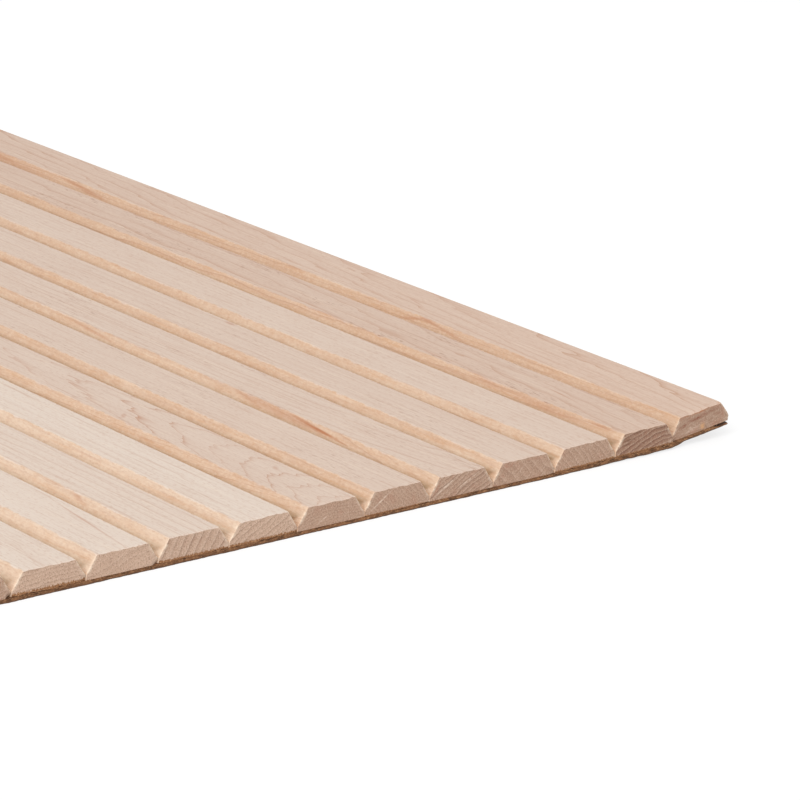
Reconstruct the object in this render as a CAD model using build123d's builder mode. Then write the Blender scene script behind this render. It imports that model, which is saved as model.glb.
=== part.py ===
from build123d import *
from math import cos, radians, sin
import os

# Tambour wall panel: double-bevelled maple slats glued side by side on one flexible fibre sheet.
# X runs along the slats, Y across them, Z up. Z = 0 is the underside of the sheet, and the origin is
# the middle of that underside.

# Panel
panel_length = 1219.2       # 48 in, along the slats
slat_count = 32             # 24 in at 3/4 in to a slat
slat_pitch = 19.05          # centre to centre
joint_gap = 0.25            # hairline between neighbouring slats

# Slat section
slat_thickness = 5.5
land_height = 1.3           # square edge left under each bevel
bevel_angle = 32.0          # from the vertical
arris_radius = 0.35         # eased edge between the flat face and a bevel

# Backing
backing_thickness = 1.0

# Lifted edge: the flexible sheet has let the outermost slats of the +Y side come up
lifted_count = 3
edge_tilt = 6.8             # roll of the outermost slat
inner_tilt = 1.2            # roll of each other lifted slat

panel_width = slat_count * slat_pitch
slat_width = slat_pitch - joint_gap
bevel_height = slat_thickness - land_height
end_x = -panel_length / 2

os.makedirs("parts", exist_ok=True)


def tilt_of(number):
    """Roll of a slat in degrees, slat 1 being the outermost one on the +Y side."""
    if number == 1:
        return edge_tilt
    if number <= lifted_count:
        return inner_tilt
    return 0.0


# Seats: where each slat starts on the top of the sheet, from the -Y edge to the lifted edge. Each seat
# begins at the middle of a joint, and the sheet is straight under one slat and bends at the next joint.
seats = {}
seat_y = -panel_width / 2
seat_z = backing_thickness
for number in range(slat_count, 0, -1):
    tilt = radians(tilt_of(number))
    seats[number] = (seat_y, seat_z, cos(tilt), sin(tilt))
    seat_y += slat_pitch * cos(tilt)
    seat_z += slat_pitch * sin(tilt)

# Backing sheet: the line of its top face, thickened downwards. Both edges are flush with the slats.
first_y, first_z, first_cos, first_sin = seats[slat_count]
last_y, last_z, last_cos, last_sin = seats[1]
top_line = [(first_y + joint_gap / 2 * first_cos, first_z + joint_gap / 2 * first_sin)]
for number in range(lifted_count, 0, -1):
    top_line.append(seats[number][:2])
edge_run = slat_pitch - joint_gap / 2
top_line.append((last_y + edge_run * last_cos, last_z + edge_run * last_sin))

with BuildPart() as backing_sheet:
    with BuildSketch(Plane.YZ.offset(end_x)):
        with BuildLine():
            Polyline(*top_line)
            offset(amount=backing_thickness, side=Side.RIGHT, kind=Kind.INTERSECTION)
        make_face()
    extrude(amount=panel_length)
backing_sheet.part.label = "backing_sheet"
export_step(backing_sheet.part, "parts/backing_sheet.step")

# Slats: a square land, a trapezoid that makes both bevels, and two eased arrises, run the whole length.
for number, (seat_y, seat_z, tilt_cos, tilt_sin) in seats.items():
    seat = Plane(origin=(end_x, seat_y, seat_z), x_dir=(0, tilt_cos, tilt_sin), z_dir=(1, 0, 0))
    with BuildPart() as slat:
        with BuildSketch(seat) as section:
            with Locations((slat_pitch / 2, 0)):
                Rectangle(slat_width, land_height, align=(Align.CENTER, Align.MIN))
            with Locations((slat_pitch / 2, land_height)):
                Trapezoid(slat_width, bevel_height, 90 - bevel_angle, align=(Align.CENTER, Align.MIN))
            fillet(section.vertices().group_by(Axis.Y)[-1], arris_radius)
        extrude(amount=panel_length)
    slat.part.label = f"slat_{number:02d}"
    export_step(slat.part, f"parts/slat_{number:02d}.step")
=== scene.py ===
from math import cos, pi, radians, sin, tan

import bpy
import numpy as np
from mathutils import Matrix, Vector


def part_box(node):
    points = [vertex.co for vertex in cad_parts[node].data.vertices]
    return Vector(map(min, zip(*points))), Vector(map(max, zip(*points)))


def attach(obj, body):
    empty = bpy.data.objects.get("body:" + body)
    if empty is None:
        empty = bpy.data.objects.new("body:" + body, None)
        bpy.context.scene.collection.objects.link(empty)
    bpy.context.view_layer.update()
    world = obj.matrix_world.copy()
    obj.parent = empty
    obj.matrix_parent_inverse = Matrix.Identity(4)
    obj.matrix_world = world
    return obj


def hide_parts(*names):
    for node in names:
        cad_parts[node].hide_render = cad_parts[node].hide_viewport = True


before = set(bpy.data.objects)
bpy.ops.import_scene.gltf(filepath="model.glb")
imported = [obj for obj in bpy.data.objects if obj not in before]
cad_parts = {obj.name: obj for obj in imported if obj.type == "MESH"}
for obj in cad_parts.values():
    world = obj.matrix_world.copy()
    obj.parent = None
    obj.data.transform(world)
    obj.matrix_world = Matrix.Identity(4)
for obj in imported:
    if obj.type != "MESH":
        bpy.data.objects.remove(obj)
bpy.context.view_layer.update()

# Backing sheet
# One brown fibre sheet, pressed from matted fibres and sawn to size with the slats already glued to its
# top. Its sawn edge is ragged, and at the lifted far corner it is worn short and has begun to peel off
# the last slat, which bares the glue, coloured dark as painted shadow in the slit under it.
MM = 0.001                      # the scene is in metres
slat_count = sum(name.startswith("slat_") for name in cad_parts)
sheet_low, sheet_high = (np.array(corner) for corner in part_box("backing_sheet"))
sheet_brown = (0.295, 0.139, 0.065)
sheet_dark = (0.110, 0.052, 0.026)
sheet_light = (0.540, 0.300, 0.150)
sheet_under = (0.130, 0.075, 0.048)
# glue colour darkened as painted shadow in the slit under the peeled slat
glue_and_shadow_brown = (0.120, 0.060, 0.036)

sheet_step = 0.5 * MM           # spacing of the points along the sawn edge
sheet_steps = np.array([0, 0.15, 0.4, 0.9, 2, 4, 8, 14, 22, 32]) * MM       # places in from each end
sheet_middle = 12               # places along the sheet between them
sheet_plies = np.array([0, 0.12, 0.3, 0.5, 0.7, 0.88, 1.0])                 # and up through it
sheet_fray = 0.25 * MM          # how far the sawn edge wanders
fray_run = 0.4 * MM             # how far in from the edge that dies away
fine_wave, fine_shift = 0.9 * MM, 30 * MM       # its short waves, and how far they shift up the sheet
long_wave, long_shift = 4.0 * MM, -20 * MM      # and its long ones
sheet_burr = 0.45 * MM          # fibres hanging under the sawn edge where it is off the floor
short_lump, long_lump = 2.2 * MM, 6.0 * MM      # and the lengths of their lumps
edge_burr = 0.4                 # share of the hanging fibres left under the outermost slat
peel_drop = 0.70 * MM           # gap under the last slat at the far corner
peel_width = 5.6 * MM
peel_steep = 2.5                # how abruptly the gap opens
peel_length = 25.0 * MM
corner_wear = 0.6 * MM          # how far the far corner is worn back
corner_width = 2.5 * MM
corner_length = 9.0 * MM
end_turn = radians(0.6)         # how much further the lifted edge turns up at the visible end
back_turn = radians(-5.8)       # and, turn_length back from it
turn_length = 450 * MM
edge_short = 0.55 * MM          # how far short of the others the outermost slat and its sheet are sawn
edge_ramp = 4.0 * MM
rough_from = np.array([35, 45, 125, 140]) * MM  # from the lifted edge, where the saw tore the sheet more
rough_share = np.array([0.0, 0.3, 0.3, 1.0])
top_side = 5                    # what skin calls the upper side of a piece


def cad_points(node):
    """All the points of a CAD node's mesh, as one array."""
    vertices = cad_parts[node].data.vertices
    points = np.empty(len(vertices) * 3)
    vertices.foreach_get("co", points)
    return points.reshape(-1, 3)


def seat_of(number):
    """Lower corners (y, z) of a slat's section, nearest and farthest in Y, read from its CAD solid: the
    points where y + z is least and where y - z is greatest."""
    points = cad_points(f"slat_{number:02d}")
    near = points[np.argmin(points[:, 1] + points[:, 2]), 1:]
    far = points[np.argmax(points[:, 1] - points[:, 2]), 1:]
    return near, far


def skin(count):
    """Skin of a lattice of count = (nx, ny, nz) points: the place of each skin point in the lattice, the
    quads over its six sides, facing outwards, and each quad's side: 0 and 1 at the low and high X ends,
    2 and 3 at the Y edges, 4 below and 5 above."""
    nx, ny, nz = count
    lattice = np.arange(nx * ny * nz).reshape(nx, ny, nz)
    grids = [lattice[0].T, lattice[-1], lattice[:, 0], lattice[:, -1].T,
             lattice[:, :, 0].T, lattice[:, :, -1]]
    quads, sides = [], []
    for side, grid in enumerate(grids):
        corners = [grid[:-1, :-1], grid[1:, :-1], grid[1:, 1:], grid[:-1, 1:]]
        quads.append(np.stack(corners, axis=-1).reshape(-1, 4))
        sides.append(np.full(len(quads[-1]), side))
    used, flat = np.unique(np.concatenate(quads), return_inverse=True)
    place = np.stack(np.unravel_index(used, count), axis=1)
    return place, flat.reshape(-1, 4), np.concatenate(sides)


def ripple(position, length, seed, count=4096):
    """Smooth random line from -1 to 1: random heights one length apart, joined by a cosine ramp. After
    this count of heights it begins again."""
    heights = np.random.default_rng(seed).uniform(-1, 1, count)
    cell = np.floor(position / length).astype(int)
    share = position / length - cell
    blend = (1 - np.cos(pi * share)) / 2
    return heights[cell % count] * (1 - blend) + heights[(cell + 1) % count] * blend


def rising(value, reach):
    """0 where a value is nothing or less, growing evenly to 1 at this reach."""
    return np.clip(value / reach, 0, 1)


def fading(gap, reach):
    """1 where there is no gap, falling evenly to 0 at this reach."""
    return np.clip(1 - gap / reach, 0, 1)


def end_stations(low, high, offsets, middle):
    """Places along X: close together at both ends, by these offsets from each end, and a few between."""
    between = np.linspace(low + offsets[-1], high - offsets[-1], middle)[1:-1]
    return np.concatenate([low + offsets, between, (high - offsets)[::-1]])


def make_piece(name, points, quads, materials, material_index, sharp_angle=35):
    """A mesh object from whole arrays, smooth except where faces meet at more than the sharp angle."""
    mesh = bpy.data.meshes.new(name)
    mesh.from_pydata(points, [], quads)
    mesh.polygons.foreach_set("material_index", np.asarray(material_index, dtype=np.int32))
    mesh.polygons.foreach_set("use_smooth", np.ones(len(quads), dtype=bool))
    mesh.set_sharp_from_angle(angle=radians(sharp_angle))
    for material in materials:
        mesh.materials.append(material)
    piece = bpy.data.objects.new(name, mesh)
    bpy.context.scene.collection.objects.link(piece)
    return piece


def turned_up(points):
    """The outermost slat and the sheet under it turned about the joint beside them, by a small angle that
    changes evenly along X from the visible end."""
    x, y, z = points.T
    turn = end_turn + (back_turn - end_turn) * rising(sheet_high[0] - x, turn_length)
    turn = np.where(y > hinge_y, turn, 0)
    return np.stack([x, y - (z - hinge_z) * turn, z + (y - hinge_y) * turn], axis=1)


def give(piece, name, values):
    """Store one number, or one vector, for each point of a piece."""
    kind, field = ("FLOAT", "value") if values.ndim == 1 else ("FLOAT_VECTOR", "vector")
    stored = piece.data.attributes.new(name, kind, "POINT")
    stored.data.foreach_set(field, values.astype(np.float32).ravel())


def add(tree, kind, inputs, out=0, **settings):
    """A new shader node: its settings set, each input linked to a socket or given a value, and one of its
    outputs back."""
    made = tree.nodes.new(kind)
    for name, value in settings.items():
        setattr(made, name, value)
    for key, value in inputs.items():
        if isinstance(value, bpy.types.NodeSocket):
            tree.links.new(value, made.inputs[key])
        else:
            made.inputs[key].default_value = value
    return made.outputs[out]


def own(tree, name, out="Fac"):
    """What the piece itself stores at each point under this name."""
    return add(tree, "ShaderNodeAttribute", {}, out=out, attribute_name=name)


def object_place(tree):
    """Each point's place in the panel's frame, in metres."""
    return add(tree, "ShaderNodeTexCoord", {}, out="Object")


def calc(tree, operation, first, second=0.0):
    """One arithmetic step on two numbers."""
    return add(tree, "ShaderNodeMath", {0: first, 1: second}, operation=operation)


def times(tree, first, second):
    """Two numbers multiplied."""
    return calc(tree, "MULTIPLY", first, second)


def plus(tree, first, second):
    """Two numbers added."""
    return calc(tree, "ADD", first, second)


def mix(tree, share, under, over, blend="MIX"):
    """Two colours mixed, or multiplied: share 0 gives the first alone, 1 the second or their product."""
    under, over = (c if isinstance(c, bpy.types.NodeSocket) else (*c, 1.0) for c in (under, over))
    return add(tree, "ShaderNodeMix", {0: share, 6: under, 7: over}, out=2, data_type="RGBA",
               blend_type=blend, clamp_factor=True)


def tinted(tree, colour, over, share, most):
    """A colour with another laid over it: by the most where the share is 1."""
    return mix(tree, times(tree, share, most), colour, over)


def ramp(tree, value, low, high, start=0.0, end=1.0):
    """Smooth step from start at low to end at high."""
    return add(tree, "ShaderNodeMapRange", {0: value, 1: low, 2: high, 3: start, 4: end},
               interpolation_type="SMOOTHSTEP")


def stretched(tree, place, scale):
    """A place multiplied by one factor for each axis."""
    return add(tree, "ShaderNodeVectorMath", {0: place, 1: scale}, operation="MULTIPLY")


def noise(tree, place, scale, detail=2.0, roughness=0.5):
    """Noise of about 0.5 on average, with this many lumps to a unit of place along each axis."""
    return add(tree, "ShaderNodeTexNoise", {"Vector": stretched(tree, place, scale), "Scale": 1.0,
                                            "Detail": detail, "Roughness": roughness})


def swing(tree, value, size):
    """A noise value turned into a swing of this size about zero."""
    return times(tree, calc(tree, "SUBTRACT", value, 0.5), size)


def new_material(name, roughness, gloss):
    """A node material of this roughness and gloss, with its tree and its Principled shader."""
    material = bpy.data.materials.new(name)
    material.use_nodes = True
    shader = material.node_tree.nodes["Principled BSDF"]
    shader.inputs["Roughness"].default_value = roughness
    shader.inputs["Specular IOR Level"].default_value = gloss
    return material, material.node_tree, shader


def dress(tree, shader, colour, relief, strength, depth):
    """Give a shader its colour, and a fine relief of this strength and depth."""
    tree.links.new(colour, shader.inputs["Base Color"])
    bump = add(tree, "ShaderNodeBump", {"Height": relief, "Strength": strength, "Distance": depth})
    tree.links.new(bump, shader.inputs["Normal"])


def fibre_sheet_material():
    """Matted brown fibre: dark clumps and single pale fibres, darker in its lowest third and where the saw
    tore it most."""
    material, tree, shader = new_material("brown_fibre", roughness=0.85, gloss=0.2)
    place = object_place(tree)
    clumps = noise(tree, place, (700, 500, 1600), detail=3)
    fibres = noise(tree, place, (2400, 1500, 4000), detail=3, roughness=0.6)
    colour = mix(tree, ramp(tree, clumps, 0.34, 0.62), sheet_dark, sheet_brown)
    colour = mix(tree, ramp(tree, fibres, 0.52, 0.72), colour, sheet_light)
    colour = tinted(tree, colour, sheet_under, ramp(tree, own(tree, "ply"), 0.42, 0.10), most=0.85)
    colour = tinted(tree, colour, sheet_dark, own(tree, "rough"), most=0.25)
    dress(tree, shader, colour, fibres, strength=0.5, depth=0.10 * MM)
    return material


def glue_and_painted_shadow_material():
    """Dried glue on the top of the sheet, its dark colour painted shadow of the slit under the peeled slat.
    It shows only where the last slat has come away."""
    material, tree, shader = new_material("glue_and_painted_shadow", roughness=0.7, gloss=0.5)
    shader.inputs["Base Color"].default_value = (*glue_and_shadow_brown, 1.0)
    return material


seats = [seat_of(number) for number in range(slat_count, 0, -1)]
seat_line = np.concatenate([np.stack(seat) for seat in seats])
hinge_y, hinge_z = seats[-1][0]
far_edge = seat_line[-1, 0]
sheet_thickness = seat_line[0, 1] - sheet_low[2]

sheet_x = end_stations(sheet_low[0], sheet_high[0], sheet_steps, sheet_middle)
sheet_y = np.linspace(sheet_low[1], sheet_high[1], int((sheet_high[1] - sheet_low[1]) / sheet_step))
place, quads, sides = skin((len(sheet_x), len(sheet_y), len(sheet_plies)))
x, y, ply = sheet_x[place[:, 0]], sheet_y[place[:, 1]], sheet_plies[place[:, 2]]
top_z = np.interp(y, seat_line[:, 0], seat_line[:, 1])
far_gap, last_gap = far_edge - y, sheet_high[0] - x
at_end = np.exp(-np.minimum(x - sheet_low[0], last_gap) / fray_run)
on_edge = rising(y - hinge_y, edge_ramp)

wander = 0.5 + 0.35 * ripple(y + ply * fine_shift, fine_wave, 11)
wander = wander + 0.25 * ripple(y + ply * long_shift, long_wave, 12)
lumps = 0.55 + 0.25 * ripple(y, short_lump, 13) + 0.20 * ripple(y, long_lump, 14)
hang = (1 - ply) * at_end * np.minimum(sheet_burr, top_z - seat_line[0, 1]) * lumps
hang = hang * (1 - (1 - edge_burr) * on_edge)
short = edge_short * on_edge * np.exp(-last_gap / peel_length)
peel = np.clip(peel_steep * (1 - far_gap / peel_width), 0, 1) * fading(last_gap, peel_length) ** 2
worn = fading(far_gap, corner_width) * fading(last_gap, corner_length) ** 2
sheet_points = np.stack([
    x - np.sign(x) * sheet_fray * wander * at_end - short,
    y - worn * corner_wear * (0.7 + 0.6 * wander),
    top_z - sheet_thickness * (1 - ply) - peel * peel_drop * ply - hang,
], axis=1)
# top faces under the peeled slat, which take the glue colour darkened as painted shadow
bared_and_shaded = (sides == top_side) & (sheet_points[quads, 1].min(axis=1) > far_edge - peel_width)

backing_sheet = make_piece("backing_fibre", turned_up(sheet_points), quads,
                           [fibre_sheet_material(), glue_and_painted_shadow_material()], bared_and_shaded)
give(backing_sheet, "ply", ply)
give(backing_sheet, "rough", np.interp(far_gap, rough_from, rough_share))
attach(backing_sheet, "root")
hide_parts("backing_sheet")

# Slats
# Straight lengths of unfinished maple, moulded with a flat face and two bevels and glued to the sheet side
# by side. Each was cut from its own place in a log, so growth rings run another way through every slat.
land_height = 1.3 * MM
bevel_angle = radians(32)
arris_radius = 0.35 * MM
arris_turn = pi / 2 - bevel_angle
slat_steps = np.array([0, 0.05, 0.11, 0.2, 0.4, 0.8, 1.6, 4, 10, 20, 32, 46, 65, 90, 130, 190, 260]) * MM
slat_middle = 5                 # places along a slat between those at its ends
edge_columns = np.array([0, 0.012, 0.026])      # places across it, as shares of its width
face_columns = np.linspace(0.042, 0.958, 64)
land_rows, bevel_rows, arris_rows = 3, 7, 4
first_closed = 3                # slats from this one on take up most of the hairline at their far joint
joint_close = 0.19 * MM
close_height = 1.0 * MM         # height up the bevel by which they no longer do
end_sides = (0, 1)              # what skin calls the two ends of a piece

end_ease = 0.20 * MM            # arris broken by the saw round each end
ease_wave = 0.8 * MM            # length of the waves in it
ease_below = 0.2                # share of it under the middle of the slat
ends_apart = 0.001              # shift of the random line from one end to the other, for each unit along X
brow_wave = 1.6 * MM            # waves along a broken top arris
brow_run = 0.5 * MM             # how soon it is whole again, in from the end
brow_power = 8                  # keeps it to the top of the end
tear_waves = np.array([0.55, 2.5]) * MM         # short and long waves of torn fibre under an end
tear_run = 0.5 * MM             # how soon it is whole again
chip_reach = 1.5 * MM           # how far a chip reaches from its corner
chip_run = 2.5 * MM             # how far in from the end a chip runs out
wear_depth = 0.5 * MM           # far lower corner of the outermost slat, worn round
wear_height = 2.2 * MM
wear_power = 8                  # keeps it to the far edge
rim_width = 0.65 * MM           # pale broken fibres beside each end arris
rim_below = 1.2 * MM            # they are full this far below the face
rim_above = 0.5 * MM            # and this far above the land
far_rim = 0.65                  # share of them on the far bevel
corner_fray = 2.0 * MM          # how far they reach about the far lower corner of each end
corner_rim = 0.6                # and their share there
open_end = 1.8 * MM             # painted shade in a groove fades out this far into its end, open_depth down it
open_depth = 2.1 * MM
open_slope = 1.2                # and this much further for each step deeper
shade_from, shade_full = 1.2 * MM, 3.0 * MM     # depths between which the grooves darken with painted shade
pale_shade = 0.5                # how dark the painted groove shade is beside the palest slats, 1 being beside the pinkest
lifted_shade = 0.55             # and the painted groove shade beside the lifted slat, lighter where the groove stands open
mid_height = 2.6 * MM           # height in the slat from which its place in the log is told
heart_fade = 0.12               # how much of the heartwood's pink is lost, turn_length back from the end

face_cream = (0.753, 0.634, 0.540)
face_pink = (0.650, 0.480, 0.379)
# the bevels' colours hold painted warm bounce light from the grooves as well as the milled wood's own warmer
# tone
bevel_cream = (0.744, 0.577, 0.442)
bevel_pink = (0.664, 0.458, 0.318)
# painted shade: what the colour deep in the grooves is multiplied by, standing in for their shadow
painted_groove_shade = (0.60, 0.555, 0.465)
ring_brown = (0.500, 0.290, 0.190)
fleck_brown = (0.420, 0.250, 0.170)
gum_red = (0.450, 0.180, 0.082)
gum_orange = (0.600, 0.310, 0.130)
broken_cream = (0.870, 0.720, 0.565)
end_cream = (0.610, 0.425, 0.315)
end_pink = (0.390, 0.235, 0.160)
end_ring = (0.200, 0.105, 0.068)
end_pale = (0.760, 0.600, 0.480)
end_red = (0.440, 0.200, 0.130)
end_gum = (0.270, 0.115, 0.070)
torn_brown = (0.250, 0.115, 0.052)

# How each slat that shows was cut: slope of the rings on its end in degrees, ring width and distance from
# the pith in mm, how far the rings drift in mm for each metre from the end, and how far they dip at it.
cuts = {
    1: (14, 0.8, 60, 20, 0.0),
    2: (17, 1.25, 40, 10, 1.5),
    3: (-48, 1.2, 90, 4, 0.0),
    4: (-48, 2.1, 70, 6, 0.5),
    5: (28, 1.0, 60, 6, -5.0),
    6: (-45, 0.9, 110, 4, 0.0),
    7: (3, 0.7, 34, 5, 6.5),
    8: (30, 1.25, 90, 4, 0.0),
    9: (67, 2.2, 120, 3, 0.0),
    10: (18, 1.6, 100, 5, 0.5),
    11: (4, 1.0, 60, 8, 0.0),
}
# How each slat that shows looks: its pinker heartwood from 0 to 1, how plain its rings are on the face and
# how sharp, how plain and how sharp on the end, and its dark flecks.
looks = {
    1: (0.98, 1.70, 9, 0.25, 3.0, 0.30),
    2: (1.00, 1.60, 7, 1.90, 1.8, 1.60),
    3: (0.57, 0.35, 4, 0.38, 2.0, 0.40),
    4: (0.59, 0.60, 5, 0.48, 1.6, 0.70),
    5: (0.60, 1.20, 6, 1.20, 2.5, 0.90),
    6: (0.58, 0.55, 4, 0.40, 2.0, 0.70),
    7: (0.58, 1.75, 13, 0.40, 3.0, 0.30),
    8: (0.06, 0.45, 5, 0.70, 3.5, 0.15),
    9: (0.18, 0.90, 5, 1.10, 4.5, 0.20),
    10: (0.10, 0.25, 5, 0.30, 2.5, 0.15),
    11: (0.06, 0.50, 6, 0.60, 2.5, 0.35),
}
look_names = ("heart", "face_rings", "face_sharp", "end_rings", "end_sharp", "flecks")
# The other slats are cut at random from the same wood, each value between these two.
cut_ranges = ((-70, 70), (0.8, 2.2), (40, 120), (2, 12), (-3, 3))
look_ranges = ((0.0, 0.9), (0.1, 0.9), (4, 10), (0.3, 0.9), (2, 4), (0.1, 0.5))
draw = np.random.default_rng(27)
for number in range(len(cuts) + 1, slat_count + 1):
    cuts[number] = tuple(draw.uniform(least, most) for least, most in cut_ranges)
    looks[number] = tuple(draw.uniform(least, most) for least, most in look_ranges)
# How soon the grain that dips at an end runs level again: distance in mm.
dip_lengths = {7: 80}
usual_dip_length = 45
# How red the ring lines of some slats are on the face.
ring_reds = {7: 0.5}

# Gum streaks: slat, distance from the end, distance down the near bevel from the arris (below 0, over the
# face), half length and half width, all in mm, slope in degrees and strength.
gum_streaks = [
    (1, 86, 1.50, 12, 0.60, 6.0, 0.40),
    (1, 95, 0.50, 5, 0.80, 2.0, 0.45),
    (1, 101, 1.40, 7, 0.65, -12.0, 0.40),
    (1, 108, -13.0, 6, 0.40, 4.0, 0.40),
    (1, 249, 1.20, 18, 0.80, 4.6, 0.55),
    (1, 310, 1.20, 60, 3.00, 0.0, 0.42),
    (1, 107, -5.8, 6, 0.35, 12.0, 0.35),
    (2, 8, 0.60, 6, 0.80, 4.0, 0.35),
    (2, 31, -6.9, 15, 0.40, 7.9, 0.45),
    (2, 32, 1.30, 30, 1.40, 0.0, 0.30),
    (2, 72, -1.2, 12, 0.70, 5.0, 0.35),
    (2, 52, 0.30, 9, 0.80, 5.0, 0.35),
    (2, 115, 0.10, 12, 0.80, -3.0, 0.30),
    (4, 121, -12.4, 3.0, 1.10, 0.0, 0.50),
    (5, 46, 1.10, 13, 0.70, 4.2, 0.75),
    (5, 43, 1.28, 9, 0.42, 4.2, 0.80),
    (5, 35, 1.85, 4, 0.35, 4.2, 0.70),
    (5, 60, 1.10, 24, 1.60, 2.0, 0.32),
    (5, 71, 1.20, 8, 0.55, 8.0, 0.35),
    (5, 135, 1.30, 20, 0.60, 3.5, 0.40),
    (7, 25, -10.0, 2.4, 1.00, 30.0, 0.28),
    (7, 74, -2.6, 2.4, 0.90, 40.0, 0.40),
    (8, 60, 1.10, 14, 0.45, 2.0, 0.20),
    (9, 33, 1.10, 5, 0.80, 14.0, 0.32),
    (10, 17, -9.6, 26, 0.40, 7.0, 0.42),
]
gum_depth = 1.5 * MM            # how deep into the wood a streak goes
# Marks on the visible ends: slat, offset from the middle of its section and height in it, half length and
# half width, all in mm, slope in degrees, strength and colour.
end_marks = [
    (1, 0.5, 1.1, 1.3, 1.5, 0.0, 1.00, gum_orange),
    (1, 0.0, 2.2, 16.0, 6.0, 0.0, 0.16, end_pale),
    (1, -3.5, 1.4, 4.5, 0.90, 4.0, 0.35, end_pale),
    (1, -0.8, 3.8, 5.2, 0.80, 4.0, 1.00, end_gum),
    (1, -5.8, 2.9, 2.4, 0.60, 8.0, 0.90, end_gum),
    (1, 4.2, 4.4, 2.8, 0.60, 4.0, 0.80, end_gum),
    (1, 5.6, 3.0, 2.0, 0.40, 4.0, 0.50, end_gum),
    (1, 0.0, 5.3, 8.5, 0.60, 0.0, 0.80, gum_red),
    (2, 0.0, 2.7, 16.0, 6.0, 0.0, 0.30, end_gum),
    (2, -2.2, 4.9, 2.4, 0.35, 2.0, 0.70, end_ring),
    (2, -4.5, 3.6, 4.0, 0.50, 6.0, 0.80, end_ring),
    (2, -5.5, 2.5, 3.0, 0.45, 3.0, 0.70, end_ring),
    (4, -4.5, 4.6, 3.6, 0.90, 0.0, 0.45, end_red),
    (4, 3.5, 4.9, 3.6, 0.60, 0.0, 0.40, end_red),
    (5, -7.3, 2.8, 2.6, 0.70, 58.0, 0.50, end_red),
    (5, -5.2, 2.6, 6.0, 0.38, 30.0, 0.85, end_pale),
    (5, 2.0, 3.2, 5.6, 0.30, 26.0, 0.75, end_pale),
    (6, -4.8, 2.9, 5.0, 0.30, 33.0, 0.80, end_pale),
    (7, -2.5, 1.6, 2.8, 0.24, 28.0, 0.60, end_pale),
]
mark_depth = 3.0 * MM           # how deep a mark goes, in from the end
# Torn fibre under the ends of some slats: depth in mm.
tears = {2: 0.10, 3: 0.15, 6: 0.15, 8: 0.20, 9: 0.18, 11: 0.25}
usual_tear = 0.06
# Brown fibre of the sheet dragged up some ends by the saw: height in mm.
smears = {2: 0.40, 3: 0.55, 6: 0.35, 8: 0.80, 9: 0.75, 11: 0.95}
usual_smear = 0.12
# How far the saw broke down the top arris of an end: depth in mm.
brows = {1: 0.35, 2: 0.20, 7: 0.30, 8: 0.20}
usual_brow = 0.10
# Chips broken off the lower corners of some ends, near and far: depth in mm.
chips = {4: (0.2, 0.4), 8: (0.2, 0.4), 9: (0.4, 0.2), 10: (0.1, 0.9), 11: (0.5, 0.5), 12: (0.1, 1.2)}
usual_chips = (0.12, 0.08)
# Seeds of the random lines along the ends, to which a slat's number is added.
ease_seed, tear_seed, long_tear_seed, brow_seed = 100, 200, 300, 400


def slat_frame(number):
    """Where a slat's section lies: its near lower corner, unit directions across and up it, its width and
    its thickness, read from its CAD solid."""
    near, far = seat_of(number)
    width = np.linalg.norm(far - near)
    across = (far - near) / width
    up = np.array([-across[1], across[0]])
    thickness = ((cad_points(f"slat_{number:02d}")[:, 1:] - near) @ up).max()
    return near, across, up, width, thickness


def half_section(height, width, thickness):
    """Half the slat's width at a height: constant up the land, narrowing by the tangent of the bevel angle
    above it, and following a circle where the arris is eased."""
    straight = width / 2 - np.clip(height - land_height, 0, None) * tan(bevel_angle)
    half_face = width / 2 - (thickness - land_height) * tan(bevel_angle)
    above = np.clip(height - (thickness - arris_radius), 0, arris_radius)
    eased = half_face - arris_radius * tan(arris_turn / 2)
    eased = eased + np.sqrt(np.clip(arris_radius ** 2 - above ** 2, 0, None))
    return np.where(above > arris_radius * cos(arris_turn), eased, straight)


def pale_fibre(offset, height, depth, half, end_gap, width):
    """Share of pale broken fibre: it fades away from the end's arris on both sides of it, shows on the
    bevels and most on the near one, and again about the far lower corner of the end."""
    bevel_gap = (half - np.abs(offset)) * cos(bevel_angle)
    share = fading(np.where(end_gap > 0, end_gap, bevel_gap), rim_width)
    share = share * rising(depth, rim_below) * rising(height - land_height, rim_above)
    share = share * np.where(offset < 0, 1, far_rim)
    corner = fading(np.hypot(width / 2 - offset, height), corner_fray) * fading(end_gap, rim_width)
    return np.maximum(share, corner_rim * corner)


def sawn(number, x, offset, height, end_gap, width, thickness):
    """What the saw did to the points near an end. The section shrinks by a quarter circle, random lines
    break down its top arris and lift its torn bottom edge, and chips set its lower corners back."""
    inset = end_ease - np.sqrt(np.clip(end_ease ** 2 - np.clip(end_ease - end_gap, 0, None) ** 2, 0, None))
    inset = inset * (0.7 + 0.6 * ripple(offset + x * ends_apart, ease_wave, ease_seed + number))
    offset = offset * (1 - inset / (width / 2))
    above = 2 * height / thickness - 1
    height = height - inset * np.where(above > 0, above, ease_below * above)
    broken = np.clip(0.4 + 0.6 * ripple(offset, brow_wave, brow_seed + number), 0, 1)
    brow = brows.get(number, usual_brow) * MM * broken * np.exp(-end_gap / brow_run)
    height = height - brow * rising(height, thickness) ** brow_power
    torn = ripple(offset, tear_waves[0], tear_seed + number)
    torn = torn + ripple(offset, tear_waves[1], long_tear_seed + number)
    tear = tears.get(number, usual_tear) * MM * np.clip(0.2 + 0.6 * torn, 0, 1)
    tear = tear * np.exp(-end_gap / tear_run)
    height = tear + height * (1 - tear / thickness)
    chip_near, chip_far = chips.get(number, usual_chips)
    to_corner = np.hypot(width / 2 - np.abs(offset), height)
    chip = np.where(offset < 0, chip_near, chip_far) * MM * fading(to_corner, chip_reach)
    x = x - np.sign(x) * chip * fading(end_gap, chip_run)
    return x, offset, height


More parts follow.
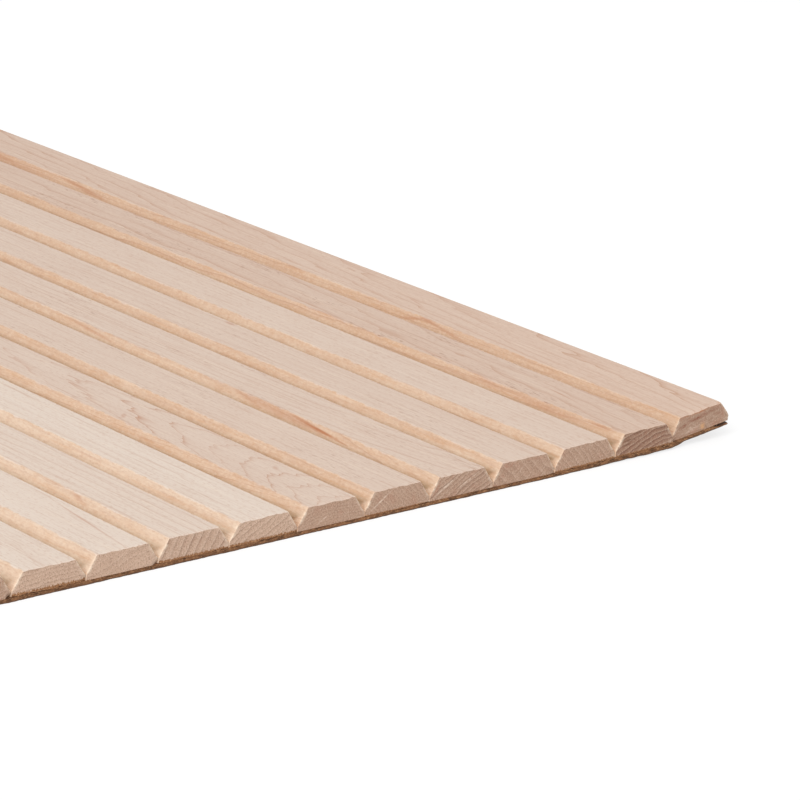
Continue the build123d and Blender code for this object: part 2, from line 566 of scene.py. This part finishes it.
def slat_mesh(number):
    """Points, quads and sides of a slat: its section carried along X, with the far land of a flat slat
    widened over the hairline, its ends sawn, and the outermost slat worn at a corner, sawn short and turned
    up. Also gives each point's offset from the middle, and what the slat stores: height, depth below the
    face, distance down the bevel from the arris (below 0, over the face), distance from the end, and share
    of pale fibre."""
    near, across, up, width, thickness = slat_frame(number)
    low, high = (np.array(corner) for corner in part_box(f"slat_{number:02d}"))
    stations = end_stations(low[0], high[0], slat_steps, slat_middle)
    arc = arris_turn * np.arange(arris_rows, -1, -1) / arris_rows
    arris_heights = thickness - arris_radius * (1 - np.cos(arc))
    heights = np.concatenate([
        np.linspace(0, land_height, land_rows, endpoint=False),
        np.linspace(land_height, arris_heights[0], bevel_rows, endpoint=False),
        arris_heights,
    ])
    columns = np.concatenate([edge_columns, face_columns, 1 - edge_columns[::-1]])
    place, quads, sides = skin((len(stations), len(columns), len(heights)))
    x, column, height = stations[place[:, 0]], columns[place[:, 1]], heights[place[:, 2]]
    half = half_section(height, width, thickness)
    offset = (column - 0.5) * 2 * half
    if number >= first_closed:
        low_share = fading(height - land_height, close_height)
        offset = offset + joint_close * low_share * rising(offset, half)
    depth = thickness - height
    over_face = np.abs(offset) - half_section(thickness, width, thickness)
    edge = np.where(depth > 0, depth / cos(bevel_angle), over_face)
    end_gap = np.minimum(x - low[0], high[0] - x)
    frayed = pale_fibre(offset, height, depth, half, end_gap, width)
    x, offset, height = sawn(number, x, offset, height, end_gap, width, thickness)
    if number == 1:
        worn = fading(height, wear_height) * fading(end_gap, corner_length) ** 2
        offset = offset - wear_depth * worn * rising(offset, width / 2) ** wear_power
        x = x - edge_short * np.exp((x - high[0]) / peel_length)
    section = near + np.outer(offset + width / 2, across) + np.outer(height, up)
    points = np.column_stack([x, section])
    if number == 1:
        points = turned_up(points)
    stored = {"height": height, "depth": depth, "edge": edge, "end_gap": end_gap, "frayed": frayed}
    return points, quads, sides, offset, stored


def log_place(number, x, offset, height):
    """Each point's place in the log its slat was cut from: along the pith in metres, then from the pith
    across and along the rings, in ring widths. The pith drifts away evenly, and dips away near the end by
    an exponential."""
    slope, ring_width, pith, drift, dip = cuts[number]
    normal = np.array([-sin(radians(slope)), cos(radians(slope))])
    from_end = sheet_high[0] - x
    dip_length = dip_lengths.get(number, usual_dip_length) * MM
    away = pith + drift * from_end + dip * (1 - np.exp(-from_end / dip_length))
    radial = (offset * normal[0] + (height - mid_height) * normal[1]) / MM + away
    around = (offset * normal[1] - (height - mid_height) * normal[0]) / MM
    return np.column_stack([x, radial / ring_width, around / ring_width])


def growth_rings(tree, log):
    """Growth rings about the pith: distance from it in ring widths, wandering a little along the log, cut
    into rings. Gives the share of the way through a ring, and that ring's own strength from 0.4 to 1."""
    distance = add(tree, "ShaderNodeVectorMath", {0: stretched(tree, log, (0, 1, 1))}, out="Value",
                   operation="LENGTH")
    slow = swing(tree, noise(tree, log, (9, 0.15, 0.15)), 2.0)
    quick = swing(tree, noise(tree, log, (60, 0.30, 0.30)), 0.9)
    ring = plus(tree, distance, plus(tree, slow, quick))
    chance = add(tree, "ShaderNodeTexWhiteNoise", {"W": calc(tree, "FLOOR", ring)}, noise_dimensions="1D")
    return calc(tree, "FRACT", ring), plus(tree, times(tree, chance, 0.6), 0.4)


def ellipsoid_share(tree, place, centre, along, aside, size, strength):
    """How strongly an ellipsoid, by its centre, two of its axes and its half sizes, colours a place: by its
    strength in the middle, and fading to nothing at its skin."""
    turn = Matrix((along, aside, along.cross(aside))).transposed().to_euler()
    local = add(tree, "ShaderNodeMapping", {"Vector": place, "Location": centre, "Rotation": turn,
                                            "Scale": size}, vector_type="TEXTURE")
    reach = add(tree, "ShaderNodeVectorMath", {0: local}, out="Value", operation="LENGTH")
    return times(tree, ramp(tree, reach, 1.0, 0.2), strength)


def streak_share(tree, place, streak):
    """How strongly a gum streak colours a place: a long thin ellipsoid lying in the face, or in the near
    bevel."""
    number, from_end, down, half_length, half_width, slope, strength = streak
    near, across, up, width, thickness = slat_frame(number)
    arris = near + across * (width / 2 - half_section(thickness, width, thickness)) + up * thickness
    uphill = across if down < 0 else across * sin(bevel_angle) + up * cos(bevel_angle)
    centre = Vector((sheet_high[0] - from_end * MM, *(arris - uphill * down * MM)))
    along = Vector((-cos(radians(slope)), *(uphill * sin(radians(slope)))))
    aside = Vector((sin(radians(slope)), *(uphill * cos(radians(slope)))))
    size = (half_length * MM, half_width * MM, gum_depth)
    return ellipsoid_share(tree, place, centre, along, aside, size, strength)


def mark_share(tree, place, mark):
    """How strongly a mark on an end colours a place: a thin ellipsoid lying in the end face."""
    number, offset, height, half_length, half_width, slope, strength, colour = mark
    near, across, up, width, thickness = slat_frame(number)
    centre = Vector((sheet_high[0], *(near + across * (width / 2 + offset * MM) + up * height * MM)))
    along = Vector((0, *(across * cos(radians(slope)) + up * sin(radians(slope)))))
    aside = Vector((1, 0, 0)).cross(along)
    size = (half_length * MM, half_width * MM, mark_depth)
    return ellipsoid_share(tree, place, centre, along, aside, size, strength)


def fuzz_share(tree, place, texture):
    """Share of pale broken fibre: what the slat stores, broken into tufts and by a finer texture."""
    tufts = ramp(tree, noise(tree, place, (900, 900, 900)), 0.36, 0.58)
    return times(tree, own(tree, "frayed"), times(tree, texture, tufts))


def bevel_colour_with_bounce(tree, place, warmth):
    """Moulded bevels: warmer than the face, partly the milled wood's own tone and partly painted warm light
    bounced between the bevels of a groove, in long streaks and feathered patches, with orange veins and a
    short nap of raised fibre."""
    streaky = swing(tree, noise(tree, place, (14, 420, 420), detail=3, roughness=0.6), 1.05)
    feather = swing(tree, noise(tree, place, (330, 500, 500), detail=3, roughness=0.6), 1.6)
    rich = plus(tree, times(tree, warmth, 1.3), plus(tree, streaky, feather))
    veins = noise(tree, place, (45, 900, 900), detail=3, roughness=0.6)
    nap = noise(tree, place, (1000, 2000, 2000), roughness=0.6)
    colour = mix(tree, rich, bevel_cream, bevel_pink)
    colour = tinted(tree, colour, gum_orange, ramp(tree, veins, 0.52, 0.70), most=0.25)
    colour = tinted(tree, colour, gum_orange, ramp(tree, nap, 0.50, 0.66), most=0.14)
    return tinted(tree, colour, broken_cream, ramp(tree, nap, 0.50, 0.34), most=0.22)


def maple_face_material():
    """Planed maple: cream to pink by slat on the face, with a nibbled border to the warmer bevels (partly
    painted bounce light), faint ring lines, fine fibres, pores, short flecks and gum streaks. The grooves
    darken downwards with painted shade, less beside an open end, and pale broken fibre lies along the end
    arrises."""
    material, tree, shader = new_material("maple_face", roughness=0.6, gloss=0.3)
    place = object_place(tree)
    ring, strength = growth_rings(tree, own(tree, "log", "Vector"))
    streak = noise(tree, place, (3, 140, 140))
    mottle = noise(tree, place, (45, 500, 500))
    fibre = noise(tree, place, (50, 1500, 1500), detail=3, roughness=0.6)
    pores = noise(tree, place, (700, 2300, 2300), detail=1)
    fleck = noise(tree, place, (330, 2400, 2400), detail=1)
    cluster = ramp(tree, noise(tree, place, (25, 150, 150), detail=1), 0.42, 0.62)

    warmth = plus(tree, own(tree, "heart"), swing(tree, streak, 0.30))
    warmth = plus(tree, warmth, swing(tree, mottle, 0.20))
    face = mix(tree, warmth, face_cream, face_pink)
    nibbled = swing(tree, noise(tree, place, (330, 150, 150), detail=3), 1.6 * MM)
    on_bevel = ramp(tree, plus(tree, own(tree, "edge"), nibbled), -0.15 * MM, 0.25 * MM)
    colour = mix(tree, on_bevel, face, bevel_colour_with_bounce(tree, place, warmth))

    line = times(tree, calc(tree, "POWER", ring, own(tree, "face_sharp")), strength)
    ring_colour = mix(tree, own(tree, "ring_red"), ring_brown, gum_red)
    colour = tinted(tree, colour, ring_colour, line, most=times(tree, own(tree, "face_rings"), 0.55))
    colour = tinted(tree, colour, ring_brown, ramp(tree, fibre, 0.52, 0.74), most=0.36)
    colour = tinted(tree, colour, broken_cream, ramp(tree, fibre, 0.46, 0.28), most=0.25)
    colour = tinted(tree, colour, ring_brown, ramp(tree, pores, 0.50, 0.75), most=0.30)
    speck = times(tree, times(tree, ramp(tree, fleck, 0.60, 0.74), cluster), 0.7)
    speck = times(tree, speck, calc(tree, "SUBTRACT", 1.0, times(tree, on_bevel, 0.8)))
    colour = tinted(tree, colour, fleck_brown, speck, most=own(tree, "flecks"))
    unbroken = ramp(tree, fibre, 0.2, 0.55)
    for gum_streak in gum_streaks:
        colour = tinted(tree, colour, gum_red, streak_share(tree, place, gum_streak), most=unbroken)

    # painted shade: the grooves' colour darkened deeper down as the shadow between slats, less near an open
    # end where light gets in
    depth = own(tree, "depth")
    inward = times(tree, calc(tree, "SUBTRACT", open_depth, depth), open_slope)
    inward = ramp(tree, plus(tree, own(tree, "end_gap"), inward), 0, open_end)
    dark = times(tree, times(tree, ramp(tree, depth, shade_from, shade_full), inward), own(tree, "shade"))
    colour = mix(tree, dark, colour, painted_groove_shade, "MULTIPLY")
    fuzz = fuzz_share(tree, place, ramp(tree, fibre, 0.3, 0.6))
    colour = tinted(tree, colour, broken_cream, fuzz, most=0.8)
    dress(tree, shader, colour, fibre, strength=0.3, depth=0.08 * MM)
    return material


def maple_end_material():
    """Sawn end grain: darker than the face and blushed with red, each ring darkening to its edge with a pale
    line after it, fine pale rays across the rings, pores, flaky marks, pale broken fibre along the bevels,
    and brown fibre dragged up from the sheet in teeth."""
    material, tree, shader = new_material("maple_end", roughness=0.8, gloss=0.2)
    place = object_place(tree)
    log = own(tree, "log", "Vector")
    ring, strength = growth_rings(tree, log)
    rays = noise(tree, log, (0, 0.5, 8))
    pores = noise(tree, place, (0, 2800, 2800), detail=3, roughness=0.65)
    patch = noise(tree, place, (0, 260, 260))
    blush = noise(tree, place, (0, 330, 330))

    warmth = plus(tree, own(tree, "heart"), swing(tree, patch, 0.5))
    colour = mix(tree, warmth, end_cream, end_pink)
    reddest = times(tree, own(tree, "heart"), 0.45)
    colour = tinted(tree, colour, end_red, ramp(tree, blush, 0.50, 0.72), most=reddest)
    plain = times(tree, strength, own(tree, "end_rings"))
    late = times(tree, calc(tree, "POWER", ring, own(tree, "end_sharp")), plain)
    colour = tinted(tree, colour, end_ring, late, most=0.75)
    early = calc(tree, "POWER", calc(tree, "SUBTRACT", 1.0, ring), 5.0)
    early = times(tree, early, calc(tree, "DIVIDE", plain, plus(tree, plain, 0.5)))
    colour = tinted(tree, colour, end_pale, early, most=0.5)
    colour = tinted(tree, colour, end_pale, ramp(tree, rays, 0.52, 0.75), most=0.3)
    colour = tinted(tree, colour, end_ring, ramp(tree, pores, 0.48, 0.70), most=0.62)
    colour = tinted(tree, colour, end_pale, ramp(tree, pores, 0.46, 0.28), most=0.45)
    flaky = ramp(tree, noise(tree, place, (0, 700, 1700)), 0.38, 0.60, start=0.2)
    for end_mark in end_marks:
        colour = tinted(tree, colour, end_mark[-1], mark_share(tree, place, end_mark), most=flaky)

    fuzz = fuzz_share(tree, place, ramp(tree, pores, 0.25, 0.6))
    colour = mix(tree, fuzz, colour, broken_cream)
    teeth = ramp(tree, noise(tree, place, (0, 2600, 150)), 0.34, 0.66, start=0.5)
    above = calc(tree, "SUBTRACT", own(tree, "height"), times(tree, teeth, own(tree, "smear")))
    dragged = mix(tree, ramp(tree, pores, 0.45, 0.70), torn_brown, sheet_light)
    colour = mix(tree, ramp(tree, above, 0.05 * MM, -0.05 * MM), colour, dragged)
    dress(tree, shader, colour, pores, strength=0.4, depth=0.10 * MM)
    return material


maple = [maple_face_material(), maple_end_material()]
for number in range(1, slat_count + 1):
    points, quads, sides, offset, stored = slat_mesh(number)
    slat = make_piece(f"maple_slat_{number:02d}", points, quads, maple, np.isin(sides, end_sides))
    stored["log"] = log_place(number, points[:, 0], offset, stored["height"])
    same_all_over = dict(zip(look_names, looks[number]))
    # strength of the painted groove shade beside each slat
    same_all_over["shade"] = lifted_shade if number == 1 else min(1, pale_shade + same_all_over["heart"])
    same_all_over["ring_red"] = ring_reds.get(number, 0.0)
    same_all_over["smear"] = smears.get(number, usual_smear) * MM
    for name, value in same_all_over.items():
        stored[name] = np.full(len(points), value)
    stored["heart"] = stored["heart"] * (1 - heart_fade * rising(sheet_high[0] - points[:, 0], turn_length))
    for name, values in stored.items():
        give(slat, name, values)
    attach(slat, "root")
    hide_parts(f"slat_{number:02d}")

# Floor, light and camera
# The panel lies on a plain white floor under one broad soft lamp from the near side and an even white sky.
# The camera stands off the visible end, low, with a long lens.
pitch = seats[1][0][0] - seats[0][0][0]
far_corner = Vector((sheet_high[0], far_edge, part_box(f"slat_{slat_count}")[1][2]))      # of the visible end
floor_size = 12.0
floor_gap = 0.05 * MM           # keeps the floor clear of the sheet's underside
floor_bounce = 0.90
floor_seen = 0.26               # the floor's colour as the camera sees it, under a glow that makes it white
floor_glow = 0.77
lamp_power = 85.0
lamp_size = 2.0
lamp_place = far_corner + Vector((1.2, -2.4, 2.3))
sky_strength = 0.60
lens_mm = 179.09
sensor_mm = 36.0
nearest_seen, farthest_seen = 0.01, 50.0
camera_offset = Vector((34.0506, -34.2942, 15.4141)) * pitch    # from that corner
camera_view = Vector((-0.72715, 0.61450, -0.30601))
camera_roll = radians(2.745)


def seen_white(tree):
    """1 for what the camera sees straight, in a reflection or through glass, and 0 for light on the
    object."""
    path = tree.nodes.new("ShaderNodeLightPath")
    straight = calc(tree, "MAXIMUM", path.outputs["Is Camera Ray"], path.outputs["Is Glossy Ray"])
    return calc(tree, "MAXIMUM", straight, path.outputs["Is Transmission Ray"])


bpy.ops.mesh.primitive_plane_add(size=floor_size, location=(0, 0, -floor_gap))
floor = bpy.context.object
floor.name = "floor"
floor_material, tree, shader = new_material("white_floor", roughness=1.0, gloss=0.0)
seen = seen_white(tree)
tree.links.new(mix(tree, seen, (floor_bounce,) * 3, (floor_seen,) * 3), shader.inputs["Base Color"])
tree.links.new(times(tree, seen, floor_glow), shader.inputs["Emission Strength"])
shader.inputs["Emission Color"].default_value = (1, 1, 1, 1)
floor.data.materials.append(floor_material)

world = bpy.data.worlds.new("white_sky")
bpy.context.scene.world = world
world.use_nodes = True
tree = world.node_tree
sky = tree.nodes["Background"]
sky.inputs["Color"].default_value = (1, 1, 1, 1)
whiter = times(tree, seen_white(tree), 1 - sky_strength)
tree.links.new(plus(tree, whiter, sky_strength), sky.inputs["Strength"])

lamp = bpy.data.lights.new("soft_lamp", "AREA")
lamp.energy = lamp_power
lamp.size = lamp_size
lamp_object = bpy.data.objects.new("soft_lamp", lamp)
lamp_object.location = lamp_place
lamp_object.rotation_euler = (far_corner - lamp_place).to_track_quat("-Z", "Y").to_euler()
bpy.context.scene.collection.objects.link(lamp_object)

camera = bpy.data.cameras.new("camera")
camera.lens = lens_mm
camera.sensor_width = sensor_mm
camera.clip_start = nearest_seen
camera.clip_end = farthest_seen
camera_object = bpy.data.objects.new("camera", camera)
camera_turn = camera_view.to_track_quat("-Z", "Y").to_matrix() @ Matrix.Rotation(camera_roll, 3, "Z")
camera_object.matrix_world = Matrix.Translation(far_corner + camera_offset) @ camera_turn.to_4x4()
bpy.context.scene.collection.objects.link(camera_object)
bpy.context.scene.camera = camera_object
bpy.context.scene.view_settings.view_transform = "Standard"
